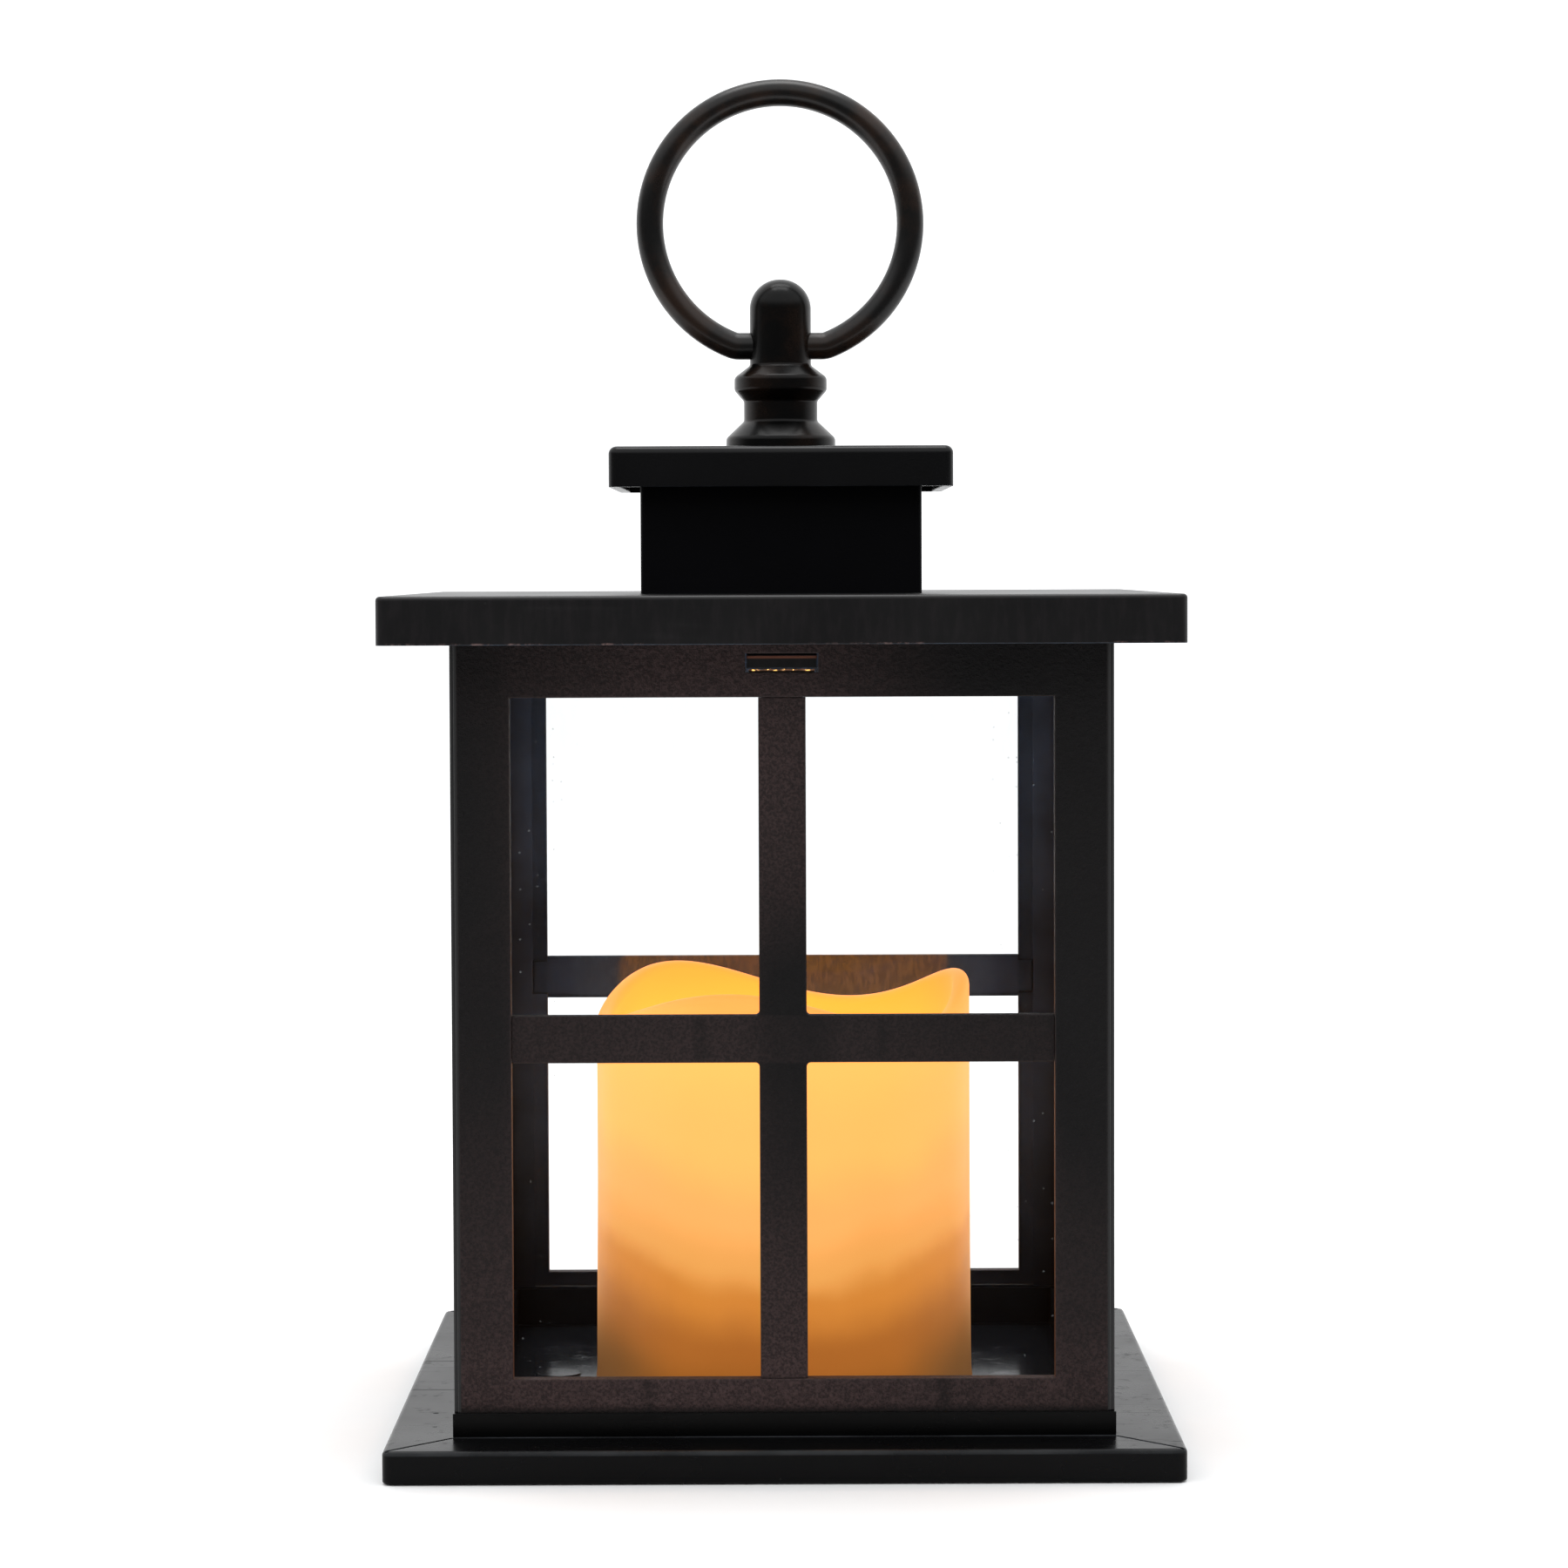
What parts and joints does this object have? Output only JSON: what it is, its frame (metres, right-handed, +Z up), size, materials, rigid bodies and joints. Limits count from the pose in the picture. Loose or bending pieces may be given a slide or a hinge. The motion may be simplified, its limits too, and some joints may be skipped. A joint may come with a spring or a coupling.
{
  "type": "candle lantern",
  "caption": "Square black plastic window lantern with a flat overhanging roof, a capped chimney, a folding carrying ring and a built-in battery candle.",
  "frame": {"origin": "centre of the base on the surface that it stands on", "axes": "+Z up, -Y towards the viewer of the front window, +X to the right seen from the front"},
  "size_m": [0.15, 0.15, 0.2682],
  "materials": {
    "textured_plastic": "fine spark texture, warm black",
    "smooth_plastic": "smooth satin black",
    "finial_plastic": "satin black, turned form",
    "ring_plastic": "satin black",
    "cover_plastic": "fine matt black",
    "clear_plastic": "clear and polished",
    "candle_wax": "ivory wax, lit from inside",
    "inner_plastic": "plain ivory moulding",
    "switch_plastic": "plain black moulding",
    "screw_steel": "zinc plated",
    "contact_steel": "nickel plated",
    "cell_wrap": "plain sleeve, unmarked",
    "board_laminate": "green solder mask",
    "lamp_lens": "amber lens"
  },
  "bodies": {
    "lantern": {"front_panel": "textured_plastic", "right_panel": "textured_plastic", "back_panel": "textured_plastic", "left_panel": "textured_plastic", "front_bars": "textured_plastic", "right_bars": "textured_plastic", "back_bars": "textured_plastic", "left_bars": "textured_plastic", "base_tray": "smooth_plastic", "roof": "smooth_plastic", "chimney": "smooth_plastic", "top_cap": "smooth_plastic", "finial": "finial_plastic", "bottom_cover": "cover_plastic", "front_pane": "clear_plastic", "right_pane": "clear_plastic", "back_pane": "clear_plastic", "left_pane": "clear_plastic", "candle_shell": "candle_wax", "battery_box": "inner_plastic", "led_holder": "inner_plastic", "switch_body": "switch_plastic", "cover_screws": "screw_steel", "chimney_screws": "screw_steel", "box_screws": "screw_steel", "finial_screw": "screw_steel", "finial_washer": "screw_steel", "contact_plates": "contact_steel", "contact_springs": "contact_steel", "battery_1": "cell_wrap", "battery_2": "cell_wrap", "battery_3": "cell_wrap", "led_board": "board_laminate", "led": "lamp_lens"},
    "carry_ring": {"carry_ring": "ring_plastic"},
    "battery_door": {"battery_door": "cover_plastic"},
    "switch_slider": {"switch_slider": "switch_plastic"}
  },
  "joints": [
    {"name": "ring_fold", "type": "hinge", "parent": "lantern", "child": "carry_ring", "pos_m": [0, 0, 0.2147], "axis": [1, 0, 0], "range_deg": [-115, 115]},
    {"name": "door_swing", "type": "hinge", "parent": "lantern", "child": "battery_door", "pos_m": [0, 0.02155, 0.0022], "axis": [1, 0, 0], "range_deg": [0, 90]},
    {"name": "switch_slide", "type": "slide", "parent": "lantern", "child": "switch_slider", "axis": [1, 0, 0], "range_m": [0, 0.004]}
  ]
}
